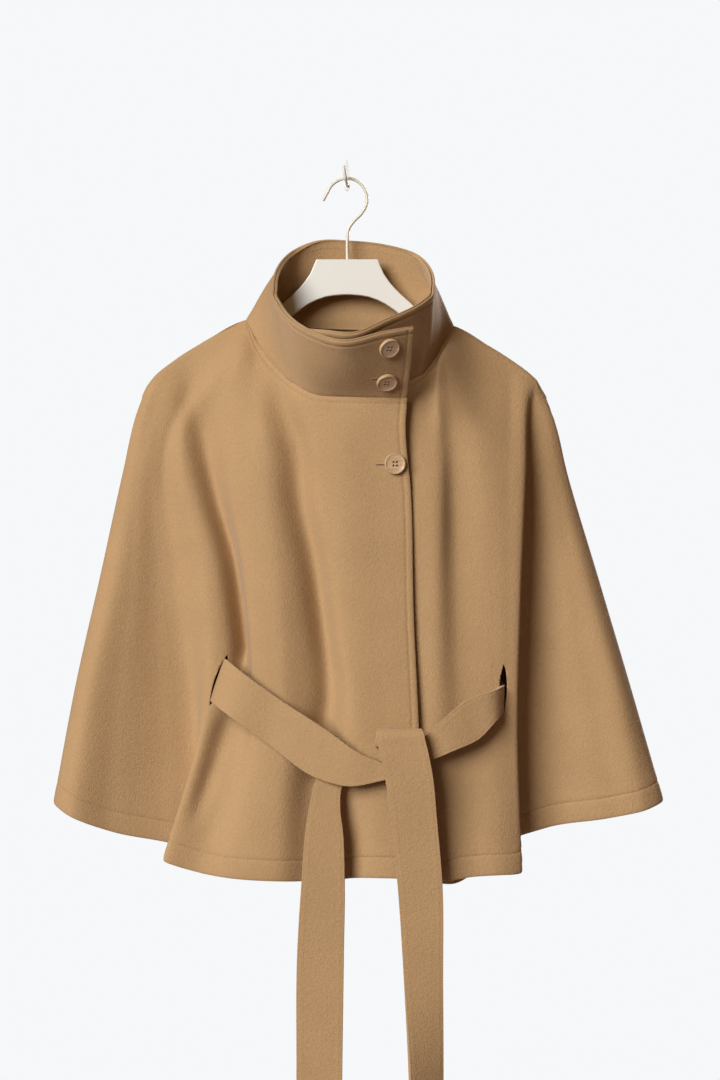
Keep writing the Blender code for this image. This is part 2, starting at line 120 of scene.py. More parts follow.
# ---------------------------------------------------------------- the hanger
# The hanger is sawn from a flat board, its edges are eased, and it is sprayed with cream satin
# paint.  The spray leaves a fine orange peel, and the face stays bare of any mark.
HANGER_CREAM = (0.80, 0.79, 0.735)
hanger_paint, shader = finish("hanger_paint", HANGER_CREAM, 0.42)
links = hanger_paint.node_tree.links
clouds = mottle(hanger_paint, 14, 2)
links.new(tint(hanger_paint, clouds, HANGER_CREAM, (0.78, 0.768, 0.71)), shader.inputs["Base Color"])
relief(hanger_paint, [(mottle(hanger_paint, 700, 2), 0.00005), (mottle(hanger_paint, 30, 2), 0.0003)])
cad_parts["hanger"].material_slots[0].material = hanger_paint

# ---------------------------------------------------------------- the hanger's wire hook
# Steel wire bent round a former, its end cut off round, pushed into the top of the board and
# dipped in cream enamel.  The enamel is glossier than the board's paint.
WIRE = 3.6
HOOK_ROUTE = (
    (-28, -26), (-23, -17), (-18.5, -9), (-10, -2.5), (0, 0), (9, -2), (18, -9), (22.5, -18),
    (23, -29), (16, -42), (8, -50), (2, -59), (0.5, -72), (0.5, -96),
)


def refine(rows, steps):
    """Rows added between the rows of a net, each column on one smooth curve."""
    rows = np.asarray(rows, float)
    hops = np.diff(rows, axis=0)
    gaps = np.linalg.norm(hops, axis=-1, keepdims=True) + 1e-6
    slopes = hops / gaps
    leans = np.concatenate([slopes[:1], slopes[-1:]]).repeat([1, len(rows) - 1], axis=0)
    leans[1:-1] = (slopes[:-1] * gaps[1:] + slopes[1:] * gaps[:-1]) / (gaps[:-1] + gaps[1:])
    made = [rows[0]]
    for i, count in enumerate(steps):
        for t in np.arange(1, count + 1) / count:
            start = (1 + 2 * t) * (1 - t) ** 2 * rows[i] + t * (1 - t) ** 2 * gaps[i] * leans[i]
            end = t * t * (3 - 2 * t) * rows[i + 1] + t * t * (t - 1) * gaps[i] * leans[i + 1]
            made.append(start + end)
    return np.array(made)


def choose(piece):
    """Only this object selected and active."""
    bpy.ops.object.select_all(action="DESELECT")
    piece.select_set(True)
    bpy.context.view_layer.objects.active = piece


def settle(piece):
    """All of a piece's modifiers applied."""
    choose(piece)
    for modifier in list(piece.modifiers):
        bpy.ops.object.modifier_apply(modifier=modifier.name)


def bend_wire(name, route, radius, material, sides=4):
    """A round wire along a route in millimetres, with closed ends, as a mesh."""
    drawn = bpy.data.curves.new(name, "CURVE")
    drawn.dimensions = "3D"
    run = drawn.splines.new("POLY")
    run.points.add(len(route) - 1)
    for point, place in zip(run.points, route):
        point.co = (*[c * MM for c in place], 1)
    drawn.bevel_depth = radius * MM
    drawn.bevel_resolution = sides
    drawn.use_fill_caps = True
    wire = bpy.data.objects.new(name, drawn)
    bpy.context.scene.collection.objects.link(wire)
    choose(wire)
    bpy.ops.object.convert(target="MESH")
    wire = bpy.context.view_layer.objects.active
    wire.data.materials.clear()
    wire.data.materials.append(material)
    bpy.ops.object.mode_set(mode="EDIT")
    bpy.ops.mesh.select_all(action="SELECT")
    bpy.ops.mesh.remove_doubles(threshold=0.00001)
    bpy.ops.mesh.normals_make_consistent(inside=False)
    bpy.ops.object.mode_set(mode="OBJECT")
    bpy.ops.object.shade_smooth_by_angle(angle=math.radians(50))
    return wire


ENAMEL = (0.76, 0.72, 0.61)
hook_paint, shader = finish("hook_enamel", ENAMEL, 0.3)
links = hook_paint.node_tree.links
links.new(tint(hook_paint, mottle(hook_paint, 90), ENAMEL, (0.70, 0.655, 0.54)), shader.inputs["Base Color"])
relief(hook_paint, [(mottle(hook_paint, 400, 2), 0.00006)])
route = refine([(x, 0, z + WIRE / 2) for x, z in HOOK_ROUTE], [8] * (len(HOOK_ROUTE) - 1))
hook = bend_wire("wire_hook", route, WIRE / 2, hook_paint)
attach(hook, "root")
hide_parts("hanger_hook")

# ---------------------------------------------------------------- the two fronts
# Heavy camel melton, cut as one piece from neck to wing edge and turned up 24 mm at the hem.
# The right front laps over the left one; its edge and the neck are topstitched.
WALL = 2.6
SEAM = -0.3
RIDGE = 7.0
END_EASE = 12.0                     # run over which the cloth's roll dies away at a shoulder's end
POINT_EASE = 14.0
LEVELS = (0.05, 0.20, 0.45, 0.70, 1.00)

# section            neck seam x, y, z      rim x, y, z
COLLAR = (
    ("under end",    (-46, -50, -243),      (-51, -102, -182)),
    ("under left",   (-26, -63, -251),      (-24, -127, -187)),
    ("under front",  (6, -67, -252),        (2, -133, -191)),
    ("right front",  (46, -61, -248),       (46, -116, -173)),
    ("right crease", (86, -46, -227),       (97, -66, -139)),
    ("right side",   (112, -19, -191),      (96, -20, -102)),
    ("right point",  (124, 0, -170),        (79, 6, -84)),
    ("right back",   (86, 17, -171),        (48, 16, -74)),
    ("back",         (4, 21, -172),         (4, 19, -69)),
    ("left back",    (-78, 17, -167),       (-35, 13, -69)),
    ("left point",   (-117, 0, -163),       (-62, 0, -81)),
    ("left side",    (-104, -19, -188),     (-79, -26, -101)),
    ("left crease",  (-66, -52, -235),      (-84, -68, -139)),
    ("left front",   (-39, -68, -252),      (-54, -119, -180)),
    ("front",        (4, -76, -256),        (-2, -146, -200)),
    ("tab",          (40, -77, -257),       (44, -139, -189)),
    ("tab end",      (69, -74, -257),       (76, -126, -182)),
)
LEFT_SHOULDER = (
    (-117, -163), (-161, -185), (-192, -204), (-212, -218), (-225, -230), (-234, -241), (-238, -252),
)
RIGHT_SHOULDER = (
    (124, -170), (158, -189), (192, -210), (211, -224), (221, -233), (229, -247), (231, -252),
)

# line              top x  x at each level                  y at each level                  hem z
FRONT_OVER = (
    ("edge",          69,  (67, 73, 76, 82, 84),            (-78, -79, -80, -85, -83),       -805),
    ("buttons",       36,  (35, 39, 42, 48, 50),            (-79, -80, -81, -87, -85),       -803),
    ("centre",        -5,  (-6, -5, 0, 4, 8),               (-78, -80, -80, -87, -84),       -804),
    ("soft trough",  -50,  (-66, -58, -36, -26, -16),       (-60, -64, -67, -70, -72),       -808),
    ("left ridge",   -80,  (-90, -94, -80, -74, -80),       (-51, -62, -74, -78, -80),       -807),
    ("lit edge",     -98,  (-106, -126, -115, -106, -134),  (-38, -50, -62, -68, -74),       -804),
    ("deep trough", -117,  (-124, -162, -126, -114, -170),  (-24, -28, -47, -51, -60),       -799),
    ("body fold",   -136,  (-146, -190, -164, -160, -210),  (-16, -28, -45, -51, -58),       -786),
    ("return",      -158,  (-168, -207, -202, -180, -172),  (-13, -18, -17, -12, -12),       -780),
    ("wing inner",  -180,  (-190, -219, -218, -210, -206),  (-12, -18, -16, -12, -11),       -771),
    ("wing",        -204,  (-212, -236, -245, -262, -272),  (-11, -18, -22, -23, -20),       -757),
    ("wing front",  -226,  (-233, -251, -269, -299, -324),  (-10, -14, -23, -27, -29),       -736),
    ("wing edge",   -236,  (-244, -261, -287, -314, -341),  (-3, -3, -3, -3, -2),            -724),
    ("wing seam",   -238,  (-241, -257, -282, -309, -336),  (6, 7, 8, 8, 9),                 -724),
)
FRONT_UNDER = (
    ("hidden edge",  -50,  (-50, -49, -44, -40, -38),       (-55, -56, -56, -60, -61),       -799),
    ("centre",         6,  (5, 5, 6, 8, 8),                 (-69, -71, -71, -78, -75),       -799),
    ("under edge",    46,  (46, 50, 54, 58, 60),            (-65, -72, -73, -77, -75),       -801),
    ("beside edge",   74,  (75, 80, 82, 84, 92),            (-60, -73, -74, -76, -74),       -806),
    ("ridge",         88,  (90, 98, 100, 102, 114),         (-54, -72, -76, -77, -75),       -807),
    ("long trough",  124,  (114, 123, 126, 130, 142),       (-36, -57, -64, -69, -72),       -803),
    ("slit",         152,  (148, 154, 162, 170, 178),       (-20, -55, -63, -64, -70),       -801),
    ("lip",          188,  (187, 183, 182, 183, 191),       (-15, -50, -61, -61, -65),       -801),
    ("body ridge",   217,  (212, 206, 199, 195, 200),       (-14, -44, -56, -57, -59),       -800),
    ("return",       221,  (214, 202, 191, 185, 172),       (-9, -25, -32, -36, -41),        -778),
    ("recess",       224,  (221, 220, 220, 224, 230),       (-8, -17, -18, -18, -18),        -753),
    ("wing",         227,  (228, 238, 256, 280, 304),       (-7, -15, -21, -23, -22),        -741),
    ("wing front",   229,  (233, 249, 280, 314, 348),       (-6, -11, -19, -24, -23),        -731),
    ("wing edge",    230,  (239, 257, 292, 327, 368),       (-2, -3, -3, -3, -2),            -722),
    ("wing seam",    231,  (236, 253, 287, 322, 363),       (6, 7, 8, 8, 9),                 -722),
)

# How proud the cloth stands, in millimetres, at each distance from an edge: the stitched groove
# lies between the pressed allowance and the single cloth
HEM = ((0, -0.7), (1.2, 0), (3, 0.3), (7, 0.45), (12, 0.5), (17, 0.45), (21, 0.25), (22.8, 0.05),
       (24, -0.6), (25.2, 0), (27.5, 0.18), (31, 0.12), (37, 0))
STITCHED = ((0, -0.6), (1.2, 0), (2.8, 0.25), (5, 0.22), (6.3, 0), (7.5, -0.55), (8.7, 0),
            (10.5, 0.14), (13.5, 0.1), (18, 0))
PLAIN = ((0, -0.6), (1.2, 0), (3, 0.4), (6, 0.25), (10, 0))
HEM_STITCH, EDGE_STITCH = 8, 5      # places of the groove in the tables above

# Creases of the front: z, x of the crease, its width to the left and right, and its depth;
# less than nothing is a ridge
FRONT_CREASES = (
    ((-195, -186, 18, 22, 0), (-225, -182, 20, 24, 6), (-262, -176, 20, 24, 10), (-300, -166, 18, 20, 12),
     (-375, -148, 15, 9, 16), (-442, -129, 14, 5, 19), (-510, -119, 13, 4.5, 20), (-545, -116, 12, 4, 18),
     (-580, -122, 14, 5, 4), (-610, -128, 14, 6, 0)),
    ((-606, -132, 11, 12, 0), (-640, -141, 15, 16, 9), (-675, -152, 13, 15, 9), (-708, -163, 11, 13, 7),
     (-750, -176, 9, 12, 0)),
    ((-222, -88, 18, 12, 0), (-262, -74, 26, 12, 10), (-306, -57, 22, 12, 14), (-373, -51, 19, 11, 16),
     (-442, -36, 17, 10, 18), (-510, -26, 16, 9, 19), (-545, -21, 16, 9, 19), (-600, -17, 16, 12, 16),
     (-650, -24, 22, 14, 11), (-700, -38, 22, 14, 11), (-808, -42, 24, 14, 9)),
    ((-250, 118, 14, 24, 0), (-306, 122, 14, 26, 2), (-374, 124, 14, 28, 2), (-510, 127, 14, 28, 1.5),
     (-600, 130, 14, 26, 1.5), (-690, 134, 16, 24, 0)),
    ((-655, 12, 22, 18, 0), (-700, 8, 22, 20, 5), (-750, 4, 22, 24, 10), (-808, 2, 22, 26, 12)),
)


def neck(x, sections):
    """The point of the neck seam above x, between two sections of the collar."""
    names = [row[0] for row in COLLAR]
    first, last = (names.index(name) for name in sections)
    seam = refine([row[1] for row in COLLAR[first:last + 1]], [6] * (last - first))
    order = np.argsort(seam[:, 0])
    return np.array([x] + [np.interp(x, seam[order, 0], seam[order, k]) for k in (1, 2)])


def panel(lines, sections, side):
    """A body panel's net, from neck and shoulder down to the hem; side is -1 in front."""
    left_point, right_point = LEFT_SHOULDER[0][0], RIGHT_SHOULDER[0][0]
    net = []
    for _, top_x, xs, ys, hem in lines:
        past = max(left_point - top_x, top_x - right_point)
        to_end = min(top_x - LEFT_SHOULDER[-1][0], RIGHT_SHOULDER[-1][0] - top_x)
        on_shoulder = min(max(1 + past / POINT_EASE, 0), 1, max(to_end / END_EASE, 0))
        top = neck(min(max(top_x, left_point), right_point), sections)
        if past > 0:
            line = sorted(LEFT_SHOULDER if top_x < 0 else RIGHT_SHOULDER)
            top = np.array([top_x, 0, np.interp(top_x, *np.array(line).T)])
        if past > -1:
            top[1] += side * SEAM
        line = [top]
        first = np.array([xs[0], ys[0], top[2] + (hem - top[2]) * LEVELS[0]])
        down = (first - top) / np.linalg.norm(first - top)
        for angle in (0.35, 0.9, 1.45):
            over = np.array([0, side * math.sin(angle), math.cos(angle) - 1]) * RIDGE
            along = down * RIDGE * angle
            line.append(top + over * on_shoulder + along * (1 - on_shoulder))
        for x, y, level in zip(xs, ys, LEVELS):
            line.append(np.array([x, y, top[2] + (hem - top[2]) * level]))
        net.append(line)
    net = refine(net, [10] * (len(net) - 1))
    for line in net:
        if left_point < line[0][0] < right_point:
            line[:4] += neck(line[0][0], sections) - line[0]
    return refine(net.transpose(1, 0, 2), [2, 2, 2, 3, 12, 20, 20, 24]).transpose(1, 0, 2)


def spread(net, near, far, pitch):
    """Each line of the net given new points: at the distances in the table near from its start,
    in far from its end, and about pitch apart between.  Also how proud each point stands."""
    hops = np.linalg.norm(np.diff(net, axis=1), axis=2)
    runs = np.concatenate([np.zeros((len(net), 1)), np.cumsum(hops, axis=1)], axis=1)
    starts, start_proud = np.array(near).T
    ends, end_proud = np.array(far)[::-1].T
    count = math.ceil((runs[:, -1].max() - starts[-1] - ends[0]) / pitch)
    made = []
    for line, run in zip(net, runs):
        middle = np.linspace(starts[-1], run[-1] - ends[0], count + 1)[1:-1]
        stops = np.concatenate([starts, middle, run[-1] - ends])
        made.append(np.stack([np.interp(stops, run, line[:, k]) for k in range(3)], axis=1))
    return np.array(made), np.concatenate([start_proud, np.zeros(count - 1), end_proud])


def crease(points, course):
    """Depth of one soft crease at each point of a net."""
    z, x, left, right, depth = refine(course, [6] * (len(course) - 1))[::-1].T
    height = points[..., 2]
    aside = points[..., 0] - np.interp(height, z, x)
    width = np.where(aside < 0, np.interp(height, z, left), np.interp(height, z, right))
    return np.interp(height, z, depth) * np.exp(-(aside / width) ** 2)


def outward(net, flip):
    """The direction in which the cloth's right side faces, at each point of a net."""
    out = np.cross(np.gradient(net, axis=0), np.gradient(net, axis=1))
    out /= np.linalg.norm(out, axis=2, keepdims=True) + 1e-9
    return out if flip else -out


def tailor(net, flip, across, down, creases=(), pitch=(3.2, 3.6)):
    """A net made fine, creased, and given its pressed and stitched edges.
    across and down each hold the tables for the net's first and last edge."""
    net, proud_across = spread(net.transpose(1, 0, 2), *across, pitch[0])
    net, proud_down = spread(net.transpose(1, 0, 2), *down, pitch[1])
    for course in creases:
        net[..., 1] += crease(net, course)
    out = outward(net, flip)
    return net + out * (proud_across[:, None] + proud_down[None])[..., None]


def sheet_mesh(name, net, material, flip, thick=WALL, offset=-1):
    """A net in millimetres as one closed sheet with rounded edges."""
    rows, columns = net.shape[:2]
    corner = (np.arange(rows - 1)[:, None] * columns + np.arange(columns - 1)[None]).reshape(-1)
    faces = np.stack([corner, corner + 1, corner + columns + 1, corner + columns], axis=1)
    mesh = bpy.data.meshes.new(name)
    mesh.from_pydata((net.reshape(-1, 3) * MM).tolist(), [], (faces[:, ::-1] if flip else faces).tolist())
    mesh.materials.append(material)
    sheet = bpy.data.objects.new(name, mesh)
    bpy.context.scene.collection.objects.link(sheet)
    shell = sheet.modifiers.new("thickness", "SOLIDIFY")
    shell.thickness = thick * MM
    shell.offset = offset
    rounding = sheet.modifiers.new("rounded edges", "BEVEL")
    rounding.width = thick * 0.42 * MM
    rounding.segments = 3
    rounding.limit_method = "ANGLE"
    rounding.angle_limit = math.radians(55)
    settle(sheet)
    bpy.ops.object.shade_smooth()
    return sheet


def stitch_row(path, out, pitch=4.4, long=3.3, thick=0.75):
    """A row of short thread stitches along a path, each lying in the cloth by its ends."""
    run = np.concatenate([[0], np.cumsum(np.linalg.norm(np.diff(path, axis=0), axis=1))])
    count = int(run[-1] / pitch)
    verts, faces = [], []
    for k in range(count):
        ends = (k + 0.5) * pitch + np.array([-0.5, -0.28, 0.28, 0.5]) * long
        here = np.stack([np.interp(ends, run, path[:, c]) for c in range(3)], axis=1)
        up = np.array([np.interp(ends[1], run, out[:, c]) for c in range(3)])
        up /= np.linalg.norm(up)
        side = np.cross(here[3] - here[0], up)
        side /= np.linalg.norm(side) + 1e-9
        first = len(verts)
        verts.append(here[0] - up * 0.35)
        for ring in here[1:3]:
            verts += [ring + side * thick / 2, ring + up * 0.42, ring - side * thick / 2, ring - up * 0.35]
        verts.append(here[3] - up * 0.35)
        for a in range(4):
            b = (a + 1) % 4
            faces.append((first, first + 1 + a, first + 1 + b))
            faces.append((first + 1 + b, first + 1 + a, first + 5 + a, first + 5 + b))
            faces.append((first + 9, first + 5 + b, first + 5 + a))
    return verts, faces


def sew(name, rows, material):
    """All the stitch rows of one piece, as one mesh."""
    verts, faces = [], []
    for path, out in rows:
        more, fresh = stitch_row(np.asarray(path), np.asarray(out))
        faces += [tuple(v + len(verts) for v in face) for face in fresh]
        verts += more
    mesh = bpy.data.meshes.new(name)
    mesh.from_pydata((np.array(verts) * MM).tolist(), [], faces)
    mesh.materials.append(material)
    thread = bpy.data.objects.new(name, mesh)
    bpy.context.scene.collection.objects.link(thread)
    choose(thread)
    bpy.ops.object.mode_set(mode="EDIT")
    bpy.ops.mesh.select_all(action="SELECT")
    bpy.ops.mesh.normals_make_consistent(inside=False)
    bpy.ops.object.mode_set(mode="OBJECT")
    bpy.ops.object.shade_smooth()
    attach(thread, "root")
    return thread


def cut_slot(piece, middle, length, wide, lean):
    """A narrow pointed slot cut through a piece from front to back."""
    outline = [(math.sin(a) * wide / 2 * abs(math.sin(a)) ** 0.5, -math.cos(a) * length / 2)
               for a in np.arange(24) * math.tau / 24]
    shape = bmesh.new()
    ring = [shape.verts.new((x * MM, 0.02, z * MM)) for x, z in outline]
    face = shape.faces.new(ring)
    pushed = bmesh.ops.extrude_face_region(shape, geom=[face])["geom"]
    moved = [v for v in pushed if isinstance(v, bmesh.types.BMVert)]
    bmesh.ops.translate(shape, verts=moved, vec=(0, -0.04, 0))
    bmesh.ops.recalc_face_normals(shape, faces=shape.faces)
    mesh = bpy.data.meshes.new("slot")
    shape.to_mesh(mesh)
    shape.free()
    blade = bpy.data.objects.new("slot", mesh)
    bpy.context.scene.collection.objects.link(blade)
    mesh.transform(Matrix.Translation(Vector(middle) * MM) @ Matrix.Rotation(math.radians(-lean), 4, "Y"))
    cut = piece.modifiers.new("slot", "BOOLEAN")
    cut.operation = "DIFFERENCE"
    cut.object = blade
    settle(piece)
    bpy.data.objects.remove(blade)


CAMEL = (0.440, 0.273, 0.129)
CAMEL_DEEP = (0.418, 0.257, 0.119)
wool, shader = finish("camel_melton", CAMEL, 0.8)
shader.inputs["Sheen Weight"].default_value = 0.35
shader.inputs["Sheen Roughness"].default_value = 0.45
shader.inputs["Sheen Tint"].default_value = (1.0, 0.93, 0.84, 1)
shader.inputs["Specular IOR Level"].default_value = 0.4
links = wool.node_tree.links
heather = tint(wool, mottle(wool, 640, 4, (1, 1, 0.7)), (1.065, 1.065, 1.065), (0.91, 0.897, 0.872))
clouds = tint(wool, mottle(wool, 22, 3), CAMEL, CAMEL_DEEP, None)
both = wool.node_tree.nodes.new("ShaderNodeMix")
both.data_type = "RGBA"
both.blend_type = "MULTIPLY"
both.inputs["Factor"].default_value = 1
links.new(clouds, both.inputs["A"])
links.new(heather, both.inputs["B"])
links.new(both.outputs["Result"], shader.inputs["Base Color"])
relief(wool, [(mottle(wool, 950, 4, (1, 1, 0.6)), 0.00062), (mottle(wool, 260, 3), 0.0004)])

thread_finish, shader = finish("camel_thread", (0.36, 0.215, 0.10), 0.7)
shader.inputs["Sheen Weight"].default_value = 0.15
links = thread_finish.node_tree.links
links.new(tint(thread_finish, mottle(thread_finish, 900), (0.38, 0.228, 0.108), (0.32, 0.19, 0.088)),
          shader.inputs["Base Color"])

# the right front, which laps over; x, z, length and lean of the slit for the belt
LEFT_SLIT = (-146.5, -580, 60, -19)
RIGHT_SLIT = (178.5, -590, 57, -2)
over_net = tailor(panel(FRONT_OVER, ("left point", "tab end"), -1), True,
                  (STITCHED, PLAIN), (STITCHED, HEM), FRONT_CREASES)
front_over = sheet_mesh("right_front", over_net, wool, True)
x, z, length, lean = LEFT_SLIT
cut_slot(front_over, (x, -58, z), length, 10, lean)
out = outward(over_net, True)
on_neck = over_net[:, 0, 0] > LEFT_SHOULDER[0][0] + 3
rows = [(over_net[:, -1 - HEM_STITCH], out[:, -1 - HEM_STITCH]),
        (over_net[EDGE_STITCH], out[EDGE_STITCH]),
        (over_net[on_neck, EDGE_STITCH], out[on_neck, EDGE_STITCH])]
over_thread = sew("right_front_stitching", rows, thread_finish)
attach(front_over, "root")
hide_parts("front_over")

# the left front, which lies under
under_net = tailor(panel(FRONT_UNDER, ("under end", "right point"), -1), False,
                   (PLAIN, PLAIN), (STITCHED, HEM), FRONT_CREASES)
front_under = sheet_mesh("left_front", under_net, wool, False)
x, z, length, lean = RIGHT_SLIT
cut_slot(front_under, (x, -58, z), length, 9, lean)
out = outward(under_net, False)
on_neck = (under_net[:, 0, 0] > 74) & (under_net[:, 0, 0] < RIGHT_SHOULDER[0][0] - 2)
rows = [(under_net[:, -1 - HEM_STITCH], out[:, -1 - HEM_STITCH]),
        (under_net[on_neck, EDGE_STITCH], out[on_neck, EDGE_STITCH])]
under_thread = sew("left_front_stitching", rows, thread_finish)
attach(front_under, "root")
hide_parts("front_under")

# ---------------------------------------------------------------- the back
# The same melton in one width, plain, joined to the fronts along the shoulders and down the
# wing edges.  It hangs in soft pipes from the shoulders and its hem is turned up as in front.
BACK = (
    ("left seam",   -238,  (-240, -256, -281, -308, -335),  (6.4, 7.4, 8.4, 8.4, 9.4),       -724),
    ("left edge",   -230,  (-233, -246, -268, -293, -319),  (10, 13, 16, 17, 18),            -733),
    ("left wing",   -205,  (-207, -213, -225, -240, -258),  (12, 18, 22, 24, 25),            -752),
    ("left valley", -165,  (-166, -168, -172, -178, -190),  (13, 18, 17, 11, 9),             -777),
    ("left pipe",   -117,  (-128, -130, -132, -136, -140),  (16, 24, 26, 27, 28),            -795),
    ("left fall",    -58,  (-58, -62, -66, -70, -74),       (22, 23, 17, 11, 8),             -806),
    ("centre",         4,  (4, 3, 1, -1, -3),               (23, 25, 27, 28, 28),            -811),
    ("right fall",    66,  (66, 68, 70, 72, 72),            (22, 23, 17, 12, 8),             -812),
    ("right pipe",   124,  (132, 130, 128, 127, 126),       (16, 24, 26, 27, 27),            -823),
    ("right valley", 168,  (170, 174, 178, 184, 192),       (13, 18, 17, 11, 9),             -760),
    ("right wing",   204,  (208, 217, 234, 254, 279),       (12, 18, 22, 24, 25),            -741),
    ("right edge",   224,  (229, 245, 275, 308, 347),       (10, 13, 16, 17, 18),            -733),
    ("right seam",   231,  (235, 252, 286, 321, 362),       (6.4, 7.4, 8.4, 8.4, 9.4),       -722),
)
BACK_CREASES = (
    ((-230, -150, 20, 20, 0), (-330, -158, 18, 22, -2), (-480, -166, 16, 22, -3), (-760, -182, 20, 20, 0)),
    ((-230, 150, 20, 20, 0), (-360, 160, 22, 16, -3), (-520, 172, 22, 18, -2), (-760, 188, 20, 20, 0)),
    ((-200, 40, 30, 24, 0), (-300, 36, 26, 20, -2), (-460, 34, 22, 18, -2), (-700, 30, 24, 24, 0)),
)
back_net = tailor(panel(BACK, ("right point", "left point"), 1), True,
                  (PLAIN, PLAIN), (STITCHED, HEM), BACK_CREASES, pitch=(4.6, 5.0))
back = sheet_mesh("back_panel", back_net, wool, True)
out = outward(back_net, True)
on_neck = (back_net[:, 0, 0] > LEFT_SHOULDER[0][0] + 3) & (back_net[:, 0, 0] < RIGHT_SHOULDER[0][0] - 3)
rows = [(back_net[:, -1 - HEM_STITCH], out[:, -1 - HEM_STITCH]),
        (back_net[on_neck, EDGE_STITCH], out[on_neck, EDGE_STITCH])]
back_thread = sew("back_stitching", rows, thread_finish)
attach(back, "root")
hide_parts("back")

# ---------------------------------------------------------------- the collar
# A tall funnel collar: the outer melton and its facing are bagged out along rim and ends, turned,
# rolled and stitched 7 mm in.  It is set into the neck and laps 130 mm at the front.
FACING_GAP = 0.5
COLLAR_TUCK = -2.4
COLLAR_BOW = 3.0
SECTION_STEPS = 14
RIM = ((0, -0.3), (1.0, 0.1), (2.4, 0.6), (4.6, 0.5), (6.0, 0.1), (7.2, -0.6), (8.4, 0), (10.2, 0.3),
       (13, 0.15), (17, 0))
SEAM_EDGE = ((0, -0.6), (1.2, 0), (3, 0.5), (7, 0.4), (12, 0))
# the funnel is pressed into two soft corners beside the front: section, how proud, how wide
PRESSED = (("left crease", 1.8, 8), ("right crease", 1.8, 8))


def collar_net(inset, rise):
    """Collar sections from seam to rim, swollen outwards halfway; inset moves the net inwards."""
    rows = []
    for _, seam, rim in COLLAR:
        seam, rim = np.array(seam, float), np.array(rim, float)
        up = (rim - seam) / np.linalg.norm(rim - seam)
        rows.append([seam + up * rise, (seam + rim) / 2, rim])
    rows = refine(rows, [SECTION_STEPS] * (len(rows) - 1))
    around = np.gradient(rows, axis=0)
    out = np.cross(around, (rows[:, 2] - rows[:, 0])[:, None])
    out /= np.linalg.norm(out, axis=2, keepdims=True)
    rows[:, 1] += out[:, 1] * COLLAR_BOW
    names = [row[0] for row in COLLAR]
    run = np.concatenate([[0], np.cumsum(np.linalg.norm(np.diff(rows[:, 1], axis=0), axis=1))])
    for name, proud, wide in PRESSED:
        aside = run - run[names.index(name) * SECTION_STEPS]
        rows += out * (proud * np.exp(-(aside / wide) ** 2))[:, None, None]
    rows -= out * inset
    return refine(rows.transpose(1, 0, 2), [14, 14]).transpose(1, 0, 2)


outer_net = tailor(collar_net(0, COLLAR_TUCK), True, (PLAIN, STITCHED), (SEAM_EDGE, RIM), pitch=(3.0, 3.4))
collar = sheet_mesh("outer_collar", outer_net, wool, True)
out = outward(outer_net, True)
rim_at, end_at = -6, -1 - EDGE_STITCH
rows = [(outer_net[:, rim_at], out[:, rim_at]), (outer_net[end_at], out[end_at])]
collar_thread = sew("collar_stitching", rows, thread_finish)
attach(collar, "root")
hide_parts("collar")

inner_net = tailor(collar_net(WALL + FACING_GAP, COLLAR_TUCK), True, (PLAIN, PLAIN), (PLAIN, PLAIN),
                   pitch=(3.0, 3.4))
facing = sheet_mesh("inner_collar", inner_net, wool, True)
out = -outward(inner_net, True)
inside = inner_net + out * WALL
hops = np.linalg.norm(np.diff(inside, axis=1), axis=2)
depth = np.cumsum(hops[:, ::-1], axis=1)[:, ::-1].mean(axis=0)
stitch_at = int(np.argmin(abs(depth - 7.2)))
facing_thread = sew("collar_facing_stitching", [(inside[:, stitch_at], out[:, stitch_at])], thread_finish)
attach(facing, "root")
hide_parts("collar_facing")

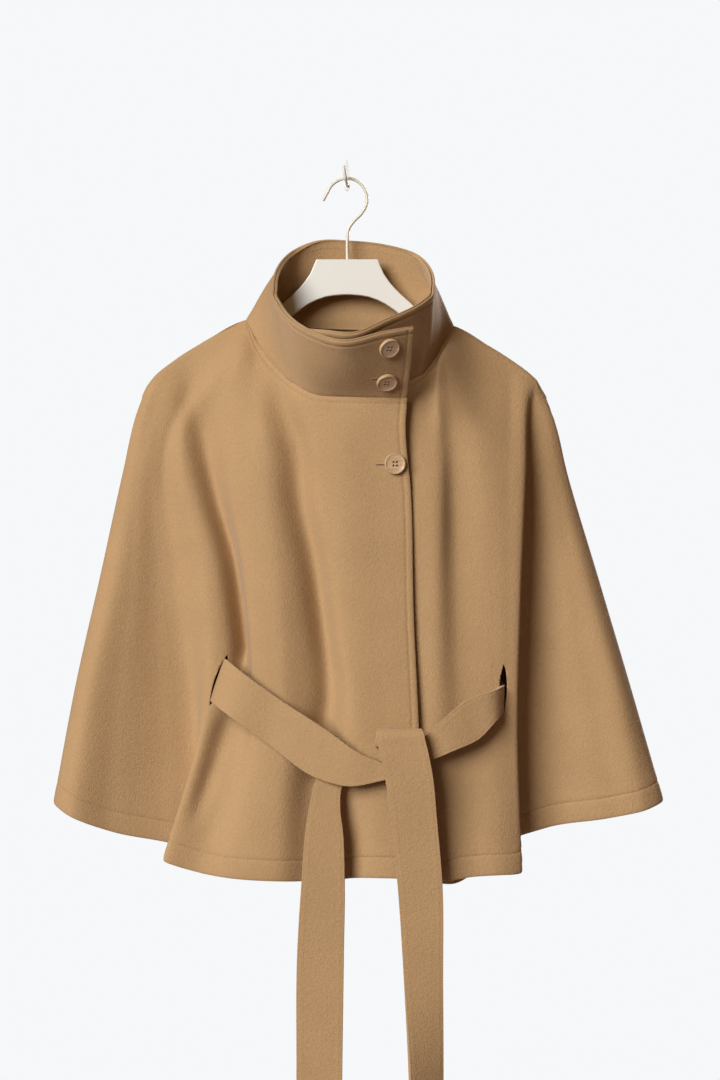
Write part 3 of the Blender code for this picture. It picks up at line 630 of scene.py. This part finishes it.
# ---------------------------------------------------------------- the belt
# One band of melton folded lengthwise, bagged and pressed, 52 mm wide and about 2.1 m long.  It
# passes in and out through the two slits and is tied in front in a half knot, its ends hanging.
BELT_THICK = 4.6
BELT_EDGE = ((0, 0), (1.2, 0), (3, 0.15), (4.6, -0.2), (6.4, 0))
BELT = {
    "belt_left_strap": (
        ((-139, -46, -556), (-156, -46, -604)),
        ((-136, -58, -557), (-152, -58, -606)),
        ((-126, -73, -564), (-142, -73, -613)),
        ((-75, -87, -600), (-88, -86, -651)),
        ((-19, -98, -636), (-34, -96, -688)),
        ((14, -102, -659), (2, -101, -697)),
        ((44, -101, -672), (44, -101, -690)),
    ),
    "belt_right_strap": (
        ((179, -48, -585), (178, -48, -615)),
        ((177, -62, -586), (177, -62, -616)),
        ((170, -76, -589), (172, -76, -621)),
        ((136, -86, -601), (149, -85, -645)),
        ((110, -92, -621), (122, -92, -657)),
        ((88, -93, -641), (94, -93, -668)),
        ((62, -92.4, -648), (64, -92.4, -673)),
        ((38, -92.3, -649), (46, -92.3, -671.5)),
        ((14, -91.9, -655), (32, -91.9, -668)),
        ((-8, -91.6, -663), (18, -91.6, -667)),
    ),
    "belt_tail_right": (
        ((31, -98, -652), (76, -98, -652)),
        ((33, -98.4, -641), (80, -98.6, -641)),
        ((35, -101.4, -633.5), (84, -101.4, -633.5)),
        ((33.5, -105.6, -635.5), (86, -105.6, -635.5)),
        ((36, -107.6, -652), (90, -107.6, -650)),
        ((42, -106.6, -680), (97, -106.6, -684)),
        ((50, -102, -735), (102, -102, -735)),
        ((57, -96, -804), (108, -96, -804)),
        ((65, -92, -920), (109, -86, -920)),
        ((71, -100, -1030), (109, -78, -1030)),
        ((73, -102, -1160), (108, -74, -1160)),
        ((74, -98, -1284), (114, -78, -1286)),
    ),
    "belt_tail_left": (
        ((-18, -91, -671), (12, -91, -673)),
        ((-34, -91, -690), (-5, -91, -698)),
        ((-41, -92, -716), (-7, -92, -722)),
        ((-46, -93, -745), (-4, -93, -748)),
        ((-51, -90, -805), (-2, -90, -805)),
        ((-56, -86, -885), (-3, -86, -885)),
        ((-57, -84, -1030), (-5, -84, -1030)),
        ((-58, -84, -1150), (-6, -84, -1150)),
        ((-57, -83, -1264), (-5, -83, -1266)),
    ),
    "belt_back": (
        ((-139, -45.5, -556), (-156, -45.5, -604)),
        ((-142, -30, -557), (-158, -32, -605)),
        ((-126, -14, -560), (-136, -14, -610)),
        ((-90, -2, -566), (-92, -2, -617)),
        ((10, 1, -570), (10, 1, -622)),
        ((104, -4, -568), (104, -4, -620)),
        ((146, -18, -567), (146, -18, -618)),
        ((166, -33, -571), (165, -33, -616)),
        ((176, -40, -579), (175, -40, -615)),
        ((179, -46.4, -585), (178, -46.4, -615)),
    ),
}
for name, rails in BELT.items():
    rows = [[a, (np.array(a) + b) / 2, b] for a, b in rails]
    net = refine(rows, [12] * (len(rows) - 1))
    net = refine(net.transpose(1, 0, 2), [8, 8]).transpose(1, 0, 2)
    length = np.linalg.norm(np.diff(net[:, 8], axis=0), axis=1).sum() * MM
    net = tailor(net, False, (PLAIN[:3], PLAIN[:3]), (BELT_EDGE, BELT_EDGE), pitch=(4.0, 3.6))
    band = sheet_mesh(f"{name}_band", net, wool, False, BELT_THICK, 0)
    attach(band, "root")
    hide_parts(name)

# ---------------------------------------------------------------- the buttons
# Three four-hole buttons turned from light horn: a raised rim, a dished middle, and streaks that
# run through the horn.  Each is sewn through its holes with camel thread.
BUTTON = 24.0
BUTTON_THICK = 4.4
BUTTON_RIM = 1.5
HOLE = 2.4
HOLE_OUT = 2.8
BUTTON_OFF = 0.8
COLLAR_SEAM = 1.7
COLLAR_BUTTONS = ((47, 0.79), (45, 0.26))
FRONT_BUTTON = (55, -79.6, -333)
HORN_LIGHT = (0.58, 0.405, 0.25)
HORN_DARK = (0.45, 0.285, 0.15)

horn, shader = finish("light_horn", HORN_LIGHT, 0.34)
shader.inputs["Subsurface Weight"].default_value = 0.08
shader.inputs["Subsurface Radius"].default_value = (0.002, 0.0012, 0.0006)
links = horn.node_tree.links
streaks = mottle(horn, 70, 4, (0.5, 1, 3.5))
links.new(tint(horn, streaks, HORN_LIGHT, HORN_DARK), shader.inputs["Base Color"])
relief(horn, [(mottle(horn, 900, 2, (1, 1, 3)), 0.00004)])


def turned_button(name):
    """A button on the origin, its face up, as turned on a lathe and drilled."""
    outer, inner = BUTTON / 2, BUTTON / 2 - BUTTON_RIM
    bpy.ops.object.select_all(action="DESELECT")
    bpy.ops.mesh.primitive_circle_add(vertices=72, radius=(outer - 1) * MM, fill_type="NGON")
    disc = bpy.context.object
    disc.name = name
    bpy.ops.object.mode_set(mode="EDIT")
    bpy.ops.mesh.select_all(action="SELECT")
    profile = ((outer - 0.3, 0.3), (outer, 1.1), (outer, 3.2), (outer - 0.35, 4.0),
               (outer - 0.9, BUTTON_THICK), (inner + 0.2, BUTTON_THICK),
               (inner - 0.1, BUTTON_THICK - 0.2), (inner - 0.5, 3.75), (inner - 1.1, 3.5),
               (inner - 4, 3.35), (3, 3.3))
    radius, height = outer - 1, 0
    for r, h in profile:
        bpy.ops.mesh.extrude_region_move(TRANSFORM_OT_translate={"value": (0, 0, (h - height) * MM)})
        bpy.ops.transform.resize(value=(r / radius, r / radius, 1), center_override=(0, 0, 0))
        radius, height = r, h
    bpy.ops.mesh.select_all(action="SELECT")
    bpy.ops.mesh.normals_make_consistent(inside=False)
    bpy.ops.object.mode_set(mode="OBJECT")
    for k in range(4):
        turn = math.radians(45 + 90 * k)
        place = (math.cos(turn) * HOLE_OUT * MM, math.sin(turn) * HOLE_OUT * MM, 0)
        bpy.ops.object.select_all(action="DESELECT")
        bpy.ops.mesh.primitive_cylinder_add(vertices=20, radius=HOLE / 2 * MM, depth=0.02, location=place)
        drill = bpy.context.object
        cut = disc.modifiers.new("hole", "BOOLEAN")
        cut.object = drill
        settle(disc)
        bpy.data.objects.remove(drill)
    disc.data.materials.clear()
    disc.data.materials.append(horn)
    choose(disc)
    bpy.ops.object.shade_smooth_by_angle(angle=math.radians(38))
    return disc


def thread_bars(name):
    """Two bars of thread through the holes of a button on the origin."""
    bars = []
    for side in (-1, 1):
        y = side * HOLE_OUT * math.sin(math.radians(45))
        x = HOLE_OUT * math.cos(math.radians(45))
        for shift in (-0.22, 0.22):
            route = [(-x + 0.5, y + shift, 1.0), (-x + 0.75, y + shift, 3.1), (-x + 1.25, y + shift, 3.42),
                     (x - 1.25, y + shift, 3.42), (x - 0.75, y + shift, 3.1), (x - 0.5, y + shift, 1.0)]
            bars.append(bend_wire(name, refine(route, [3] * 5), 0.22, thread_finish, 1))
    bpy.ops.object.select_all(action="DESELECT")
    for bar in bars:
        bar.select_set(True)
    bpy.context.view_layer.objects.active = bars[0]
    bpy.ops.object.join()
    bars[0].name = name
    return bars[0]


section = collar_net(0, COLLAR_SEAM)
tab_near, tab_far = section[-1 - 2 * SECTION_STEPS // 2], section[-1]
places = []
for x, share in COLLAR_BUTTONS:
    column = share * (len(tab_near) - 1)
    low = int(column)
    here = Vector(tab_near[low]).lerp(Vector(tab_near[low + 1]), column - low)
    beyond = Vector(tab_far[low]).lerp(Vector(tab_far[low + 1]), column - low)
    face = (beyond - here).cross(Vector(tab_near[low + 1] - tab_near[low])).normalized()
    on_cloth = here.lerp(beyond, (x - here.x) / (beyond.x - here.x))
    places.append((on_cloth + face * BUTTON_OFF, face))
places.append((Vector(FRONT_BUTTON) - Vector((0, BUTTON_OFF, 0)), Vector((0, -1, 0))))

disc = turned_button("button_turned")
bars = thread_bars("thread_bars")
for k, (place, face) in enumerate(places, 1):
    where = Matrix.Translation(place * MM) @ face.to_track_quat("Z", "Y").to_matrix().to_4x4()
    for source, name in ((disc, f"horn_button_{k}"), (bars, f"button_thread_{k}")):
        copy = bpy.data.objects.new(name, source.data.copy())
        bpy.context.scene.collection.objects.link(copy)
        copy.data.transform(where)
        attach(copy, "root")
        if source is disc:
            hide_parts(f"button_{k}")
for source in (disc, bars):
    bpy.data.objects.remove(source)

# Each buttonhole is a narrow slit with a worked edge of close thread, half under its button. The slit is not
# cut; a thin dark strip of painted shade stands for the shadow in the opening.
BUTTONHOLES = (                     # cloth, x from and to, z
    ("front_buttonhole", front_over, 32.0, 47.0, -334),
    ("collar_buttonhole", collar, 27.5, 40.0, -238.5),
)
HOLE_HALF = 0.75                    # from the slit's middle to its worked edge
SLIT_SHORT = 0.6                    # how much the slit stops short of that edge at each end
IN_FRONT = -0.3                     # metres, in front of all the cloth
# painted shade: the near-black colour of the strip that stands for the shadow inside each slit
SLIT_PAINTED_SHADE = (0.075, 0.042, 0.02)
slit_painted_shade, shader = finish("buttonhole_painted_shade", SLIT_PAINTED_SHADE, 0.9)
links = slit_painted_shade.node_tree.links
links.new(tint(slit_painted_shade, mottle(slit_painted_shade, 500), SLIT_PAINTED_SHADE, (0.055, 0.03, 0.014)),
          shader.inputs["Base Color"])
for name, cloth, x_from, x_to, z in BUTTONHOLES:
    turn = np.linspace(0, 2 * math.pi, 41)
    half = (x_to - x_from) / 2
    oval = [(x_from + half - half * math.cos(t), z + HOLE_HALF * math.sin(t)) for t in turn]
    line = [(x, z) for x in np.linspace(x_from + SLIT_SHORT, x_to - SLIT_SHORT, 16)]
    # each with its thickness, its material, and how far its middle lies behind the cloth's face
    for part, marks, thick, material, sunk in (("edge", oval, 0.42, thread_finish, -0.05),
                                               ("slit", line, 0.5, slit_painted_shade, 0.12)):
        route = []
        for x, mark_z in marks:
            where = cloth.ray_cast((x * MM, IN_FRONT, mark_z * MM), (0, 1, 0))[1]
            route.append((x, where.y / MM + sunk, mark_z))
        piece = bend_wire(f"{name}_{part}", route, thick, material, 2)
        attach(piece, "root")

# ---------------------------------------------------------------- floor, room, light and camera
# A pale floor in a pale room, lit by one large soft light from the upper left in front, a weaker
# one from behind, which lights the back, and a dim warm room light.
FLOOR_Z = -1700.0                   # low enough to stay below the camera's view
PALE = (0.25, 0.25, 0.25)
ROOM_WHITE = (0.968, 0.983, 1.0, 1)
plaster, shader = finish("plaster", PALE, 0.9)
shader.inputs["Specular IOR Level"].default_value = 0
shader.inputs["Emission Color"].default_value = ROOM_WHITE
shader.inputs["Emission Strength"].default_value = 0.72
links = plaster.node_tree.links
links.new(tint(plaster, mottle(plaster, 3), PALE, (0.246, 0.246, 0.246)), shader.inputs["Base Color"])

bpy.ops.object.select_all(action="DESELECT")
bpy.ops.mesh.primitive_plane_add(size=6, location=(0, -0.5, FLOOR_Z * MM))
floor = bpy.context.object
floor.name = "floor"
floor.data.materials.append(plaster)
floor.visible_diffuse = False
choose(floor)
bpy.ops.object.transform_apply(location=True, rotation=True, scale=True)


def sun(name, strength, angle, towards):
    """A broad, soft, distant light shining towards a direction."""
    made = bpy.data.lights.new(name, "SUN")
    made.energy = strength
    made.angle = math.radians(angle)
    lamp = bpy.data.objects.new(name, made)
    lamp.rotation_euler = Vector(towards).to_track_quat("-Z", "Y").to_euler()
    bpy.context.scene.collection.objects.link(lamp)


sun("key", 3.85, 36, (0.8, 1.0, -0.52))
sun("rear", 2.6, 36, (-0.45, -1.0, -0.3))
world = bpy.data.worlds.new("room")
world.use_nodes = True
nodes, links = world.node_tree.nodes, world.node_tree.links
dim, bright, seen, either = [nodes["Background"]] + [
    nodes.new(kind) for kind in ("ShaderNodeBackground", "ShaderNodeLightPath", "ShaderNodeMixShader")]
dim.inputs["Color"].default_value = (1, 0.60, 0.30, 1)
dim.inputs["Strength"].default_value = 0.15
bright.inputs["Color"].default_value = ROOM_WHITE
bright.inputs["Strength"].default_value = 0.95
links.new(seen.outputs["Is Camera Ray"], either.inputs["Fac"])
links.new(dim.outputs["Background"], either.inputs[1])
links.new(bright.outputs["Background"], either.inputs[2])
links.new(either.outputs["Shader"], nodes["World Output"].inputs["Surface"])
bpy.context.scene.world = world
bpy.context.scene.view_settings.view_transform = "Standard"

eye = bpy.data.cameras.new("camera")
eye.sensor_fit = "VERTICAL"
eye.sensor_height = 36
eye.lens = 89.9
camera = bpy.data.objects.new("camera", eye)
camera.location = (0.0151, -3.140, -0.4194)
camera.rotation_euler = (math.pi / 2, 0, 0)
bpy.context.scene.collection.objects.link(camera)
bpy.context.scene.camera = camera
